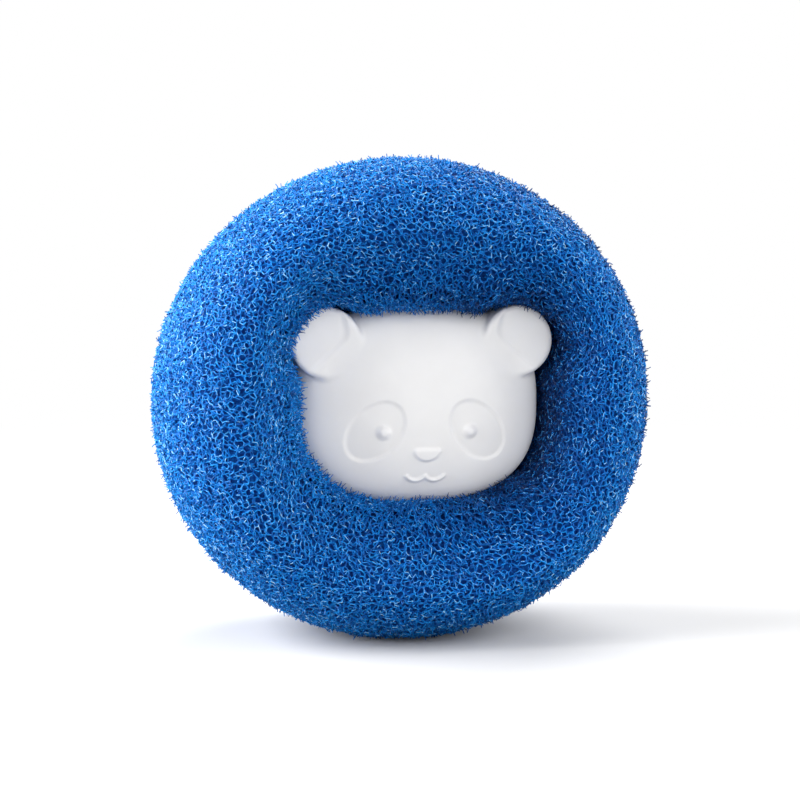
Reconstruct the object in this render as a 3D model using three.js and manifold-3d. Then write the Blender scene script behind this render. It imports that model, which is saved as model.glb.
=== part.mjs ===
// Sponge laundry ball: a ring of open-cell foam pinched between two equal animal heads.
// Each head carries a spigot post and a socket post, and the posts meet through the foam's web.
// Millimetres, +Z up, the front head faces -Y, the ball stands on Z = 0.
import * as THREE from 'three';
import { mergeVertices } from 'three/addons/utils/BufferGeometryUtils.js';
import Module from 'manifold-3d';

const wasm = await Module();
wasm.setup();

// Sponge
const SPONGE_RADIUS = 49.8;
const SPONGE_OVAL = 0.8; // how far the outline swells along its long axis
const SPONGE_OVAL_ANGLE = THREE.MathUtils.degToRad(17); // long axis, up from +X
const SPONGE_HALF_DEPTH = 29; // middle plane to the crest of the ring
const CREST_RADIUS = 35.6; // crest of the ring, from the middle of the heads
const CREST_FULLNESS = 2.6; // superellipse exponent of the crest, which is a rounded square
const LIP_WIDTH = 6; // least distance from a head to the crest
const RIM_FULLNESS = 2.1; // superellipse exponent of the outer half of the ring
const LIP_FULLNESS = 1.4; // of the inner half towards the crest
const POCKET_FULLNESS = 2.5; // and towards the head, which the foam hugs
const STANDING_FLAT = 0.8; // depth of the flat that the ball stands on
const SPONGE_SECTORS = 56;
const RIM_STEPS = 5;
const LIP_STEPS = 4;

// Where the heads pinch the sponge
const PINCH_OFFSET_X = 2; // from the middle of the outline
const PINCH_OFFSET_Z = -0.7;
const PINCH_HALF_GAP = 5; // middle plane to the open edge of a head
const CLEARANCE = 0.3;
const POCKET_BRIDGE = THREE.MathUtils.degToRad(4); // half the angle over which the foam bridges a notch

// Head
const HEAD_HALF_WIDTH = 25.2;
const HEAD_HALF_HEIGHT = 20;
const HEAD_FULLNESS = 2.6; // superellipse exponent of the outline
const HEAD_SIDE = 3; // straight side between the open edge and the dome
const DOME_RISE = 12;
const DOME_FULLNESS = 2.2; // superellipse exponent of the dome's section
const WALL = 1.8;
const HEAD_SECTORS = 48;
const DOME_STEPS = 8;

// Ears
const EAR_X = 19.6;
const EAR_Y = 12.9;
const EAR_RADIUS = 7.1;
const EAR_HEIGHT = 11; // open edge of the head to the ear's front
const EAR_ROUNDING = 1;
const INNER_EAR_X = 4.5; // corner of the inner ear, from the ear's middle towards the face
const INNER_EAR_Y = 1.4; // and above it
const INNER_EAR_RISE = THREE.MathUtils.degToRad(105); // upper side's direction from the corner
const INNER_EAR_FALL = THREE.MathUtils.degToRad(222); // and the lower side's
const INNER_EAR_ROUNDING = 1.5;
const EAR_SECTORS = 28;
const EAR_ROUNDING_STEPS = 3;

// Face relief
const RECESS = 0.4; // depth of the eye patches and the inner ears
const RAISE = 0.45; // height of the eye dots, the nose and the mouth
const PATCH_X = 10.4;
const PATCH_Y = -4.6;
const PATCH_LONG = 6.8; // half length
const PATCH_SHORT = 4.8; // half width
const PATCH_TILT = THREE.MathUtils.degToRad(47); // long axis from level, lower end outwards
const DOT_X = 8.8;
const DOT_Y = -4.8;
const DOT_RADIUS = 1.1;
const NOSE_Y = -8.2; // flat upper edge
const NOSE_WIDTH = 5.6;
const NOSE_HEIGHT = 2.5;
const MOUTH_Y = -13.9; // where the two arcs meet
const MOUTH_SPAN = 3.8; // width of one arc
const MOUTH_SAG = 0.9;
const MOUTH_LINE = 0.6;
const RELIEF_STEPS = 12; // along each curve of the relief

// Posts inside the heads
const POST_X = 9;
const POST_RADIUS = 4.2;
const SPIGOT_RADIUS = 2.5;
const SPIGOT_LENGTH = 9; // past the middle plane
const POST_SECTORS = 20;

// Sizes that follow from those above; heights in a head count from the middle plane
const DOME_FOOT = PINCH_HALF_GAP + HEAD_SIDE;
const DOME_TOP = DOME_FOOT + DOME_RISE;
const EAR_FRONT = PINCH_HALF_GAP + EAR_HEIGHT;
const POST_END = CLEARANCE / 2;
const ABOVE = DOME_TOP + WALL; // clear of every surface of a head
const MERGE_DISTANCE = 1e-4;

const foam = new THREE.MeshStandardMaterial({ color: 0x1f6fb8, roughness: 0.85, metalness: 0 });
const frontPlastic = new THREE.MeshStandardMaterial({ color: 0xf2f1f0, roughness: 0.3, metalness: 0 });
const rearPlastic = frontPlastic.clone();

function solid(geometry) {
  const bare = geometry.clone();
  bare.deleteAttribute('normal');
  bare.deleteAttribute('uv');
  const merged = mergeVertices(bare, MERGE_DISTANCE);
  const vertProperties = new Float32Array(merged.attributes.position.array);
  const triVerts = new Uint32Array(merged.index.array);
  return new wasm.Manifold(new wasm.Mesh({ numProp: 3, vertProperties, triVerts }));
}

function geometryOf(manifold) {
  const mesh = manifold.getMesh();
  const geometry = new THREE.BufferGeometry();
  geometry.setAttribute('position', new THREE.BufferAttribute(new Float32Array(mesh.vertProperties), 3));
  geometry.setIndex(new THREE.BufferAttribute(new Uint32Array(mesh.triVerts), 1));
  geometry.computeVertexNormals();
  return geometry;
}

// A closed skin over rings of points, each ring closed to a point at its end of the stack
function ringStack(first, rings, last) {
  const points = [first, ...rings.flat(), last];
  const count = rings[0].length;
  const end = points.length - 1;
  const index = [];
  for (let i = 0; i < count; i += 1) {
    const next = (i + 1) % count;
    index.push(0, 1 + i, 1 + next);
    for (let k = 0; k + 1 < rings.length; k += 1) {
      const near = 1 + k * count;
      const far = near + count;
      index.push(near + i, far + i, far + next);
      index.push(near + i, far + next, near + next);
    }
    const rim = end - count;
    index.push(end, rim + next, rim + i);
  }
  const geometry = new THREE.BufferGeometry().setFromPoints(points);
  geometry.setIndex(index);
  return geometry;
}

// Round bar along Z between two heights
function bar(x, y, radius, low, high, sectors) {
  const geometry = new THREE.CylinderGeometry(radius, radius, high - low, sectors);
  geometry.rotateX(Math.PI / 2);
  geometry.translate(x, y, (low + high) / 2);
  return solid(geometry);
}

// Straight prism along Z over a flat shape, from a height to clear above the dome
function prism(shape, low) {
  const depth = ABOVE - low;
  const options = { depth, bevelEnabled: false, curveSegments: RELIEF_STEPS };
  const geometry = new THREE.ExtrudeGeometry(shape, options);
  geometry.translate(0, 0, low);
  return solid(geometry);
}

function superellipse(angle, halfWidth, halfHeight, fullness) {
  const across = Math.abs(Math.cos(angle)) / halfWidth;
  const along = Math.abs(Math.sin(angle)) / halfHeight;
  return (across ** fullness + along ** fullness) ** (-1 / fullness);
}

function headRadius(angle, grow) {
  return superellipse(angle, HEAD_HALF_WIDTH + grow, HEAD_HALF_HEIGHT + grow, HEAD_FULLNESS);
}

// The head's dome, grown outwards by a distance, standing on a chosen height
function dome(grow, base) {
  const rings = [];
  const ring = (share, height) => {
    const points = [];
    for (let i = 0; i < HEAD_SECTORS; i += 1) {
      const angle = (2 * Math.PI * i) / HEAD_SECTORS;
      const radius = share * headRadius(angle, grow);
      points.push(new THREE.Vector3(radius * Math.cos(angle), radius * Math.sin(angle), height));
    }
    return points;
  };
  for (let k = 1; k <= DOME_STEPS; k += 1) {
    const turn = (Math.PI / 2) * (k / DOME_STEPS);
    const share = Math.sin(turn) ** (2 / DOME_FULLNESS);
    rings.push(ring(share, DOME_FOOT + (DOME_RISE + grow) * Math.cos(turn)));
  }
  rings.push(ring(1, base));
  const top = new THREE.Vector3(0, 0, DOME_TOP + grow);
  return solid(ringStack(top, rings, new THREE.Vector3(0, 0, base)));
}

// Round ear with a rounded front edge, standing on the head's open edge
function ear(side) {
  const outline = new THREE.Path();
  outline.moveTo(0, PINCH_HALF_GAP);
  outline.lineTo(EAR_RADIUS, PINCH_HALF_GAP);
  outline.lineTo(EAR_RADIUS, EAR_FRONT - EAR_ROUNDING);
  outline.absarc(EAR_RADIUS - EAR_ROUNDING, EAR_FRONT - EAR_ROUNDING, EAR_ROUNDING, 0, Math.PI / 2);
  outline.lineTo(0, EAR_FRONT);
  const geometry = new THREE.LatheGeometry(outline.getPoints(EAR_ROUNDING_STEPS), EAR_SECTORS);
  geometry.rotateX(Math.PI / 2);
  geometry.translate(side * EAR_X, EAR_Y, 0);
  return solid(geometry);
}

// The inner ear: a wedge with a rounded corner by the face, open to the ear's outer edge
function earRecess(side) {
  const point = (angle, length) => [
    side * (EAR_X - INNER_EAR_X - length * Math.cos(angle)),
    EAR_Y + INNER_EAR_Y + length * Math.sin(angle),
  ];
  const reach = 2 * EAR_RADIUS;
  const shape = new THREE.Shape();
  shape.moveTo(...point(INNER_EAR_RISE, reach));
  shape.lineTo(...point(INNER_EAR_RISE, INNER_EAR_ROUNDING));
  shape.quadraticCurveTo(...point(0, 0), ...point(INNER_EAR_FALL, INNER_EAR_ROUNDING));
  shape.lineTo(...point(INNER_EAR_FALL, reach));
  shape.lineTo(...point(Math.PI, reach));
  shape.closePath();
  return prism(shape, EAR_FRONT - RECESS).subtract(dome(0, PINCH_HALF_GAP));
}

function earHollow(side) {
  const ceiling = EAR_FRONT - RECESS - WALL;
  return bar(side * EAR_X, EAR_Y, EAR_RADIUS - WALL, PINCH_HALF_GAP - WALL, ceiling, EAR_SECTORS);
}

function patchRecess(side) {
  const shape = new THREE.Shape();
  const tilt = side < 0 ? PATCH_TILT : Math.PI - PATCH_TILT;
  shape.absellipse(side * PATCH_X, PATCH_Y, PATCH_LONG, PATCH_SHORT, 0, 2 * Math.PI, false, tilt);
  return prism(shape, PINCH_HALF_GAP).subtract(dome(-RECESS, PINCH_HALF_GAP));
}

function dotShape(side) {
  const shape = new THREE.Shape();
  shape.absarc(side * DOT_X, DOT_Y, DOT_RADIUS, 0, 2 * Math.PI);
  return shape;
}

function noseShape() {
  const shape = new THREE.Shape();
  shape.absellipse(0, NOSE_Y, NOSE_WIDTH / 2, NOSE_HEIGHT, Math.PI, 2 * Math.PI);
  shape.closePath();
  return shape;
}

function mouthShape(side) {
  const bend = MOUTH_SPAN ** 2 / (8 * MOUTH_SAG) + MOUTH_SAG / 2;
  const half = Math.asin(MOUTH_SPAN / 2 / bend);
  const start = -Math.PI / 2 - half;
  const end = -Math.PI / 2 + half;
  const x = (side * MOUTH_SPAN) / 2;
  const y = MOUTH_Y - MOUTH_SAG + bend;
  const shape = new THREE.Shape();
  shape.absarc(x, y, bend + MOUTH_LINE / 2, start, end, false);
  shape.absarc(x, y, bend - MOUTH_LINE / 2, end, start, true);
  shape.closePath();
  return shape;
}

// A post runs from inside the dome's wall to the middle plane
function post(side) {
  const column = bar(side * POST_X, 0, POST_RADIUS, POST_END, ABOVE, POST_SECTORS);
  return column.intersect(dome(-WALL / 2, POST_END));
}

function headGeometry() {
  const sides = [-1, 1];
  let head = dome(0, PINCH_HALF_GAP);
  for (const side of sides) head = head.add(ear(side));
  head = head.subtract(dome(-WALL, PINCH_HALF_GAP - WALL));
  for (const side of sides) {
    head = head.subtract(earHollow(side)).subtract(earRecess(side)).subtract(patchRecess(side));
  }
  const raised = [noseShape(), ...sides.map(dotShape), ...sides.map(mouthShape)];
  const skin = dome(RAISE, PINCH_HALF_GAP).subtract(dome(-WALL / 2, PINCH_HALF_GAP));
  for (const shape of raised) head = head.add(prism(shape, PINCH_HALF_GAP).intersect(skin));
  for (const side of sides) head = head.add(post(side));
  const spigot = bar(POST_X, 0, SPIGOT_RADIUS, -SPIGOT_LENGTH, DOME_FOOT, POST_SECTORS);
  const boreRadius = SPIGOT_RADIUS + CLEARANCE;
  const bore = bar(-POST_X, 0, boreRadius, POST_END - WALL, SPIGOT_LENGTH + CLEARANCE, POST_SECTORS);
  return geometryOf(head.add(spigot).subtract(bore));
}

// How far a head reaches from its middle in one direction, ears included
function claspReach(angle) {
  let distance = headRadius(angle, CLEARANCE);
  const offset = Math.hypot(EAR_X, EAR_Y);
  const radius = EAR_RADIUS + CLEARANCE;
  for (const side of [-1, 1]) {
    const turn = angle - Math.atan2(EAR_Y, side * EAR_X);
    const miss = Math.abs(offset * Math.sin(turn));
    if (miss < radius && Math.cos(turn) > 0) {
      distance = Math.max(distance, offset * Math.cos(turn) + Math.sqrt(radius ** 2 - miss ** 2));
    }
  }
  return distance;
}

// The foam round a head bridges the notches beside the ears: the mean of the widest reaches nearby
function pocketRadius(angle) {
  const steps = [-1, -0.5, 0, 0.5, 1].map((share) => share * POCKET_BRIDGE);
  const widest = (middle) => Math.max(...steps.map((step) => claspReach(middle + step)));
  return steps.reduce((sum, step) => sum + widest(angle + step), 0) / steps.length;
}

function crestRadius(angle) {
  const ring = superellipse(angle, CREST_RADIUS, CREST_RADIUS, CREST_FULLNESS);
  return Math.max(ring, pocketRadius(angle) + LIP_WIDTH);
}

// One half section of the ring: steps from the head's edge to the crest, then from the crest to the rim
function halfSection() {
  const floor = PINCH_HALF_GAP - CLEARANCE;
  const section = [];
  for (let k = 0; k < LIP_STEPS; k += 1) {
    const turn = (Math.PI / 2) * (k / LIP_STEPS);
    const share = 1 - Math.cos(turn) ** (2 / LIP_FULLNESS);
    const height = floor + (SPONGE_HALF_DEPTH - floor) * Math.sin(turn) ** (2 / POCKET_FULLNESS);
    section.push({ onRim: false, share, height });
  }
  for (let k = 0; k <= RIM_STEPS; k += 1) {
    const turn = (Math.PI / 2) * (k / RIM_STEPS);
    const share = Math.sin(turn) ** (2 / RIM_FULLNESS);
    const height = SPONGE_HALF_DEPTH * Math.max(Math.cos(turn), 0) ** (2 / RIM_FULLNESS);
    section.push({ onRim: true, share, height });
  }
  return section;
}

// The pinched foam, flat on its outline plane (x, y) with its depth along z
function spongeBody() {
  const pinch = new THREE.Vector2(PINCH_OFFSET_X, PINCH_OFFSET_Z);
  const front = halfSection();
  const back = front.slice(0, -1).reverse();
  const section = [...front, ...back.map((step) => ({ ...step, height: -step.height }))];
  const rings = section.map(() => []);
  for (let i = 0; i < SPONGE_SECTORS; i += 1) {
    const angle = (2 * Math.PI * i) / SPONGE_SECTORS;
    const direction = new THREE.Vector2(Math.cos(angle), Math.sin(angle));
    const inner = direction.clone().multiplyScalar(pocketRadius(angle)).add(pinch);
    const crest = direction.clone().multiplyScalar(crestRadius(angle)).add(pinch);
    const swell = SPONGE_OVAL * Math.cos(2 * (angle - SPONGE_OVAL_ANGLE));
    const outer = direction.clone().multiplyScalar(SPONGE_RADIUS + swell);
    section.forEach(({ onRim, share, height }, k) => {
      const point = onRim ? crest.clone().lerp(outer, share) : inner.clone().lerp(crest, share);
      rings[k].push(new THREE.Vector3(point.x, point.y, height));
    });
  }
  const web = section[0].height;
  const first = new THREE.Vector3(pinch.x, pinch.y, web);
  const last = new THREE.Vector3(pinch.x, pinch.y, -web);
  return ringStack(first, rings, last);
}

// Depth of the outline's lowest point below its middle
function outlineDrop(geometry) {
  geometry.computeBoundingBox();
  return -geometry.boundingBox.min.y;
}

const uncut = spongeBody();
const standing = outlineDrop(uncut) - STANDING_FLAT; // outline's middle above the ground

function spongeGeometry() {
  let sponge = solid(uncut);
  for (const side of [-1, 1]) {
    const x = PINCH_OFFSET_X + side * POST_X;
    const radius = POST_RADIUS + CLEARANCE;
    const length = PINCH_HALF_GAP;
    sponge = sponge.subtract(bar(x, PINCH_OFFSET_Z, radius, -length, length, POST_SECTORS));
  }
  const ground = new THREE.BoxGeometry(2 * SPONGE_RADIUS, SPONGE_RADIUS, 3 * SPONGE_HALF_DEPTH);
  ground.translate(0, -standing - SPONGE_RADIUS / 2, 0);
  return geometryOf(sponge.subtract(solid(ground)));
}

// Upright group: its own (x, y) plane stands up, and its +z faces the front, which is -Y
const ball = new THREE.Group();
ball.rotation.x = Math.PI / 2;
ball.position.z = standing;

const sponge = new THREE.Mesh(spongeGeometry(), foam);
sponge.name = 'sponge';
ball.add(sponge);

const clasp = new THREE.Group();
clasp.position.set(PINCH_OFFSET_X, PINCH_OFFSET_Z, 0);
ball.add(clasp);

const moulding = headGeometry();
const frontHead = new THREE.Mesh(moulding, frontPlastic);
frontHead.name = 'front_head';
clasp.add(frontHead);

const rearHead = new THREE.Mesh(moulding.clone(), rearPlastic);
rearHead.name = 'rear_head';
rearHead.rotation.y = Math.PI;
clasp.add(rearHead);

const laundryBall = new THREE.Group();
laundryBall.name = 'sponge_laundry_ball';
laundryBall.add(ball);

export default laundryBall;
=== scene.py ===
"""Sponge laundry ball: a pinched ring of open-cell foam between two white animal heads.

The shapes repeat the named sizes of the solids, in millimetres, and go into the frame in metres.
The foam is a net of real struts over a core whose dark colour is painted shade, and the heads are
smooth mouldings.
"""

import math

import bpy
import numpy as np
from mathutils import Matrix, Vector
from mathutils.geometry import delaunay_2d_cdt
from mathutils.kdtree import KDTree


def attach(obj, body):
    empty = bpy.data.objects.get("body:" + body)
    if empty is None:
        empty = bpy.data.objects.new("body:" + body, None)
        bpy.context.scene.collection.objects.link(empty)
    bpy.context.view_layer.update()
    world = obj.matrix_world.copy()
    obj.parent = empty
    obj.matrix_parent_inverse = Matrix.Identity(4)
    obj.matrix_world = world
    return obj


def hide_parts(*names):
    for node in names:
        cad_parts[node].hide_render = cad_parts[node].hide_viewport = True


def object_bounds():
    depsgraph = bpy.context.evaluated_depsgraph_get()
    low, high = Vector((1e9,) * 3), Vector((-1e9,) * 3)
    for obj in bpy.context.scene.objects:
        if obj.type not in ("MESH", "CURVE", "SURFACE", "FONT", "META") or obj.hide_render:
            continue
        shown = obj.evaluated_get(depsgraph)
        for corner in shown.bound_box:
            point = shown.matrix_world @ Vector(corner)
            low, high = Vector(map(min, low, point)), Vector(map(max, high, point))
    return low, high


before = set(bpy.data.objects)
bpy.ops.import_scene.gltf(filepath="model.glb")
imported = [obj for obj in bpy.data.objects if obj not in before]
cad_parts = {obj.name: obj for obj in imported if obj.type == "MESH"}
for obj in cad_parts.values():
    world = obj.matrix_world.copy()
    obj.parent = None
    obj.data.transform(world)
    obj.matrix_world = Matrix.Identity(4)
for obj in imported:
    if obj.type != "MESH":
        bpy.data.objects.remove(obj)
CAD_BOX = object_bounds()

MM = 0.001

# Sponge, as in the solids
SPONGE_RADIUS = 49.8
SPONGE_OVAL = 0.8
SPONGE_OVAL_ANGLE = math.radians(17)
SPONGE_HALF_DEPTH = 29.0
CREST_RADIUS = 35.6
CREST_FULLNESS = 2.6
LIP_WIDTH = 6.0
RIM_FULLNESS = 2.1
LIP_FULLNESS = 1.4  # towards the crest
POCKET_FULLNESS = 2.5  # towards the head, which the foam hugs
PINCH_OFFSET = np.array([2.0, -0.7])
PINCH_HALF_GAP = 5.0
CLEARANCE = 0.3
POCKET_BRIDGE = math.radians(4)

# Heads, as in the solids
HEAD_HALF_WIDTH = 25.2
HEAD_HALF_HEIGHT = 20.0
HEAD_FULLNESS = 2.6
HEAD_SIDE = 3.0
DOME_RISE = 12.0
DOME_FULLNESS = 2.2
WALL = 1.8
EAR_X = 19.6
EAR_Y = 12.9
EAR_RADIUS = 7.1
EAR_HEIGHT = 11.0
EAR_ROUNDING = 1.0
INNER_EAR_X, INNER_EAR_Y = 4.5, 1.4
INNER_EAR_RISE = math.radians(105)
INNER_EAR_FALL = math.radians(222)
INNER_EAR_ROUNDING = 1.5
RECESS = 0.4
RAISE = 0.45
PATCH_X = 10.4
PATCH_Y = -4.6
PATCH_LONG = 6.8
PATCH_SHORT = 4.8
PATCH_TILT = math.radians(47)
DOT_X = 8.8
DOT_Y = -4.8
DOT_RADIUS = 1.1
NOSE_Y = -8.2
NOSE_WIDTH = 5.6
NOSE_HEIGHT = 2.5
MOUTH_Y = -13.9
MOUTH_SPAN = 3.8
MOUTH_SAG = 0.9
MOUTH_LINE = 0.6
POST_X = 9.0
POST_RADIUS = 4.2
SPIGOT_RADIUS = 2.5
SPIGOT_LENGTH = 9.0
EAR_BLEND = 1.2  # how widely an ear runs into the dome
EAR_GROOVE = 0.08  # depth of the line along the inner ear's edge

# Half widths of the relief's soft edges
PATCH_EDGE = 0.5
DOT_EDGE = 0.7
LINE_EDGE = 0.35
EAR_EDGE = 0.65

# Rounded edges and fillets of the moulding
NOSE_ROUNDING = 1.0
MOUTH_BLEND = 0.1
FOOT_ROUNDING = 0.4
HOLLOW_ROUNDING = 0.3
POST_ROUNDING = 0.5
POST_TOP_ROUNDING = 0.1
POST_FILLET = 0.6
SPIGOT_ROUNDING = 0.8
SPIGOT_FILLET = 0.4
BORE_ROUNDING = 0.3

# Heights in the heads, from the middle of the web
DOME_FOOT = PINCH_HALF_GAP + HEAD_SIDE
DOME_TOP = DOME_FOOT + DOME_RISE
EAR_FRONT = PINCH_HALF_GAP + EAR_HEIGHT
POST_END = CLEARANCE / 2

# Foam cells
OUTER_CELL = 1.2  # distance between the middles of neighbouring cells at the surface
INNER_CELL = 1.4  # and in the net below
CELL_UNEVEN = 0.4  # how far a cell's middle strays, in cells
OUTER_DEPTH, INNER_DEPTH, CORE_DEPTH = 0.35, 1.0, 1.5
OUTER_LIFT, INNER_LIFT, TIP_LIFT = 0.25, 0.8, 0.1  # least heights over the ground
OUTER_WAVE, INNER_WAVE = 0.4, 0.35  # how far a joint of struts strays along the normal
JOINT_DRIFT = 0.2  # and along the surface
OUTER_KEPT = 0.72  # share of the surface's struts that the cut left whole
STRUT_END = 0.16  # radius at a joint of struts
STRUT_WAIST = 0.105  # and halfway
STRUT_THIN, STRUT_THICK = 0.75, 1.25  # between which its radii vary
STRUT_BEND = 0.16  # how far a strut's middle strays sideways
STRUT_SHORTEST = 0.1
STRUT_LONGEST = 2  # in cells
DOWN_SHARE = 0.5  # joints with a strut down to the net below
STUB_SHORT, STUB_LONG = 0.2, 0.5  # cut struts that stand out of the surface
STUB_TIP = 0.06
STUB_SKEW = 1.5  # more of them are short than long
STUB_SPREAD = 0.6  # how far they lean
LOOSE_SHARE = 0.4  # free ends at the surface, for each joint
LOOSE_SHORT, LOOSE_LONG = 0.6, 1.1
LOOSE_RISE, LOOSE_SPREAD = 0.15, 0.8  # how far they point out of the surface, and at random
FACING_SHARE = 0.55  # how far struts are shaded as the surface that they make up
TONES = 0.14, 0.52  # how light struts are, of 1
RIDGE_HIGHLIGHT = 0.28  # painted highlight: how much lighter the edge is that faces out of the foam
GLINT_SHARE, GLINT_TONE = 0.5, 0.92  # struts with a painted glint on the edge that faces out, and how light that edge is
CAVITY_SHADE = 0.1  # painted shade: how much darker they are where the foam faces a head, most of all on the right
GAP_SHADE = 0.5  # painted shade: how much darker they are in the gap on the right of the head
GAP_FADE = 10.0  # depth over which that painted shade sets in
HUG_FULL, HUG_TOP = 18.0, 24.0  # heights between which the foam lets go of a head
HUG_REACH = 2.5  # widest gap that it fills
HUG_SLACK_LEFT, HUG_SLACK_RIGHT = 0.35, 0.8  # shares that it lacks at a head's two sides
SLACK_FROM_LEFT, SLACK_FADE_LEFT = 0.88, 0.06  # how far to the side that starts and sets in, of 1
SLACK_FROM_RIGHT, SLACK_FADE_RIGHT = 0.75, 0.1
FRINGE_FOOT = 13.0
FRINGE_HUG = 0.3  # least share of hold on a head where struts hang over its edge
FRINGE_SHORT, FRINGE_LONG = 0.5, 1.6
FRINGE_OUT, FRINGE_SPREAD = 0.4, 0.5  # how far they point away from the web, and at random
JOINT_GAP, TIP_GAP = 0.32, 0.15  # least distances to a head
TRIM_STEP = 0.2  # by which a strut is drawn back from one, of its length
WEB_REACH = 36  # past the widest pocket
OUTER_SECTORS = 12
INNER_SECTORS = 6
SEED = 20

rng = np.random.default_rng(SEED)


# The sponge's outline and section

def superellipse(angle, half_width, half_height, fullness):
    across = np.abs(np.cos(angle)) / half_width
    along = np.abs(np.sin(angle)) / half_height
    return (across ** fullness + along ** fullness) ** (-1 / fullness)


def clasp_reach(angle):
    """How far a head reaches from its middle, ears included."""
    wide, high = HEAD_HALF_WIDTH + CLEARANCE, HEAD_HALF_HEIGHT + CLEARANCE
    reach = superellipse(angle, wide, high, HEAD_FULLNESS)
    offset = math.hypot(EAR_X, EAR_Y)
    radius = EAR_RADIUS + CLEARANCE
    for side in (-1, 1):
        turn = angle - math.atan2(EAR_Y, side * EAR_X)
        miss = np.abs(offset * np.sin(turn))
        chord = np.sqrt(np.maximum(radius ** 2 - miss ** 2, 0))
        far = np.where((miss < radius) & (np.cos(turn) > 0), offset * np.cos(turn) + chord, 0)
        reach = np.maximum(reach, far)
    return reach


def pocket_radius(angle):
    """The foam round a head: the mean of the widest reaches nearby."""
    steps = POCKET_BRIDGE * np.linspace(-1, 1, 5)
    total = np.zeros_like(angle)
    for middle in steps:
        total += np.max([clasp_reach(angle + middle + step) for step in steps], axis=0)
    return total / len(steps)


TABLE_STEPS = 1440
TABLE_ANGLES = np.linspace(0, 2 * np.pi, TABLE_STEPS + 1)
POCKET_TABLE = pocket_radius(TABLE_ANGLES)


def ring_point(angle, profile, inset=0.0):
    """A point of the foam's surface, or of the same form made smaller all round by inset.

    profile runs 0 to 1 up the front lip, to 2 round to the rim, and on to 4 behind.
    """
    angle = np.mod(angle, 2 * np.pi)
    step = np.clip(np.minimum(profile, 4 - profile), 0, 2)
    side = np.where(profile <= 2, 1.0, -1.0)
    pocket = np.interp(angle, TABLE_ANGLES, POCKET_TABLE)
    crest = superellipse(angle, CREST_RADIUS, CREST_RADIUS, CREST_FULLNESS)
    crest = np.maximum(crest, pocket + LIP_WIDTH)
    pocket = pocket + inset
    rim = SPONGE_RADIUS - inset + SPONGE_OVAL * np.cos(2 * (angle - SPONGE_OVAL_ANGLE))
    floor = PINCH_HALF_GAP - CLEARANCE - inset
    top = SPONGE_HALF_DEPTH - inset
    on_lip = step < 1
    lip_turn = np.clip(step, 0, 1) * np.pi / 2
    rim_turn = np.clip(step - 1, 0, 1) * np.pi / 2
    lip_share = 1 - np.clip(np.cos(lip_turn), 0, 1) ** (2 / LIP_FULLNESS)
    rim_share = np.sin(rim_turn) ** (2 / RIM_FULLNESS)
    lip_height = floor + (top - floor) * np.sin(lip_turn) ** (2 / POCKET_FULLNESS)
    rim_height = top * np.clip(np.cos(rim_turn), 0, 1) ** (2 / RIM_FULLNESS)
    lip_radius = pocket + lip_share * (crest - pocket)
    radius = np.where(on_lip, lip_radius, crest + rim_share * (rim - crest))
    pinched = np.where(on_lip, 1.0, 1 - rim_share)
    x = PINCH_OFFSET[0] * pinched + radius * np.cos(angle)
    y = PINCH_OFFSET[1] * pinched + radius * np.sin(angle)
    z = side * np.where(on_lip, lip_height, rim_height)
    return np.stack([x, y, z], axis=-1)


def ring_normal(angle, profile):
    small = 1e-3
    ahead = ring_point(angle, np.clip(profile + small, 0, 4))
    behind = ring_point(angle, np.clip(profile - small, 0, 4))
    around = ring_point(angle + small, profile) - ring_point(angle - small, profile)
    return unit(np.cross(ahead - behind, around))


class RingMap:
    """Even coordinates over the foam: turn goes by length round a row, climb keeps cells square."""

    ROWS = 257
    COLUMNS = 721

    def __init__(self):
        self.profiles = np.linspace(0, 4, self.ROWS)
        angles = np.linspace(0, 2 * np.pi, self.COLUMNS)
        grid = ring_point(*np.meshgrid(angles, self.profiles))
        steps = np.linalg.norm(np.diff(grid, axis=1), axis=2)
        lengths = np.concatenate([np.zeros((self.ROWS, 1)), np.cumsum(steps, axis=1)], axis=1)
        self.girth = lengths[:, -1]
        self.shift = np.empty_like(lengths)
        for row in range(self.ROWS):
            share = lengths[row] / self.girth[row] * 2 * np.pi
            self.shift[row] = np.interp(angles, share, angles) - angles
        rise = np.linalg.norm(np.diff(grid, axis=0), axis=2).mean(axis=1)
        self.length = np.concatenate([[0], np.cumsum(rise)])
        radius = self.girth / (2 * np.pi)
        climb = rise / ((radius[1:] + radius[:-1]) / 2)
        self.climb = np.concatenate([[0], np.cumsum(climb)])

    def place(self, turn, climb):
        """angle and profile of a point in even coordinates."""
        profile = np.interp(climb, self.climb, self.profiles)
        turn = np.mod(turn, 2 * np.pi)
        row = np.clip(profile / 4 * (self.ROWS - 1), 0, self.ROWS - 1.001)
        column = np.clip(turn / (2 * np.pi) * (self.COLUMNS - 1), 0, self.COLUMNS - 1.001)
        low, left = row.astype(int), column.astype(int)
        up, right = row - low, column - left
        near = self.shift[low, left] * (1 - right) + self.shift[low, left + 1] * right
        far = self.shift[low + 1, left] * (1 - right) + self.shift[low + 1, left + 1] * right
        return turn + near * (1 - up) + far * up, profile

    def cell_middles(self, cell):
        """Uneven rows of cells, as (turn, climb)."""
        rows = round(self.length[-1] / (cell * math.sqrt(3) / 2))
        points = []
        for row in range(rows):
            at = (row + 0.5) / rows * self.length[-1]
            girth = np.interp(at, self.length, self.girth)
            count = round(girth / cell)
            stray = rng.uniform(-CELL_UNEVEN, CELL_UNEVEN, (count, 2)) * cell
            turn = (np.arange(count) + rng.uniform()) * 2 * np.pi / count
            turn = turn + stray[:, 0] / girth * 2 * np.pi
            climb = np.interp(at + stray[:, 1], self.length, self.climb)
            points.append(np.stack([np.mod(turn, 2 * np.pi), climb], axis=1))
        return np.concatenate(points)


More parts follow.
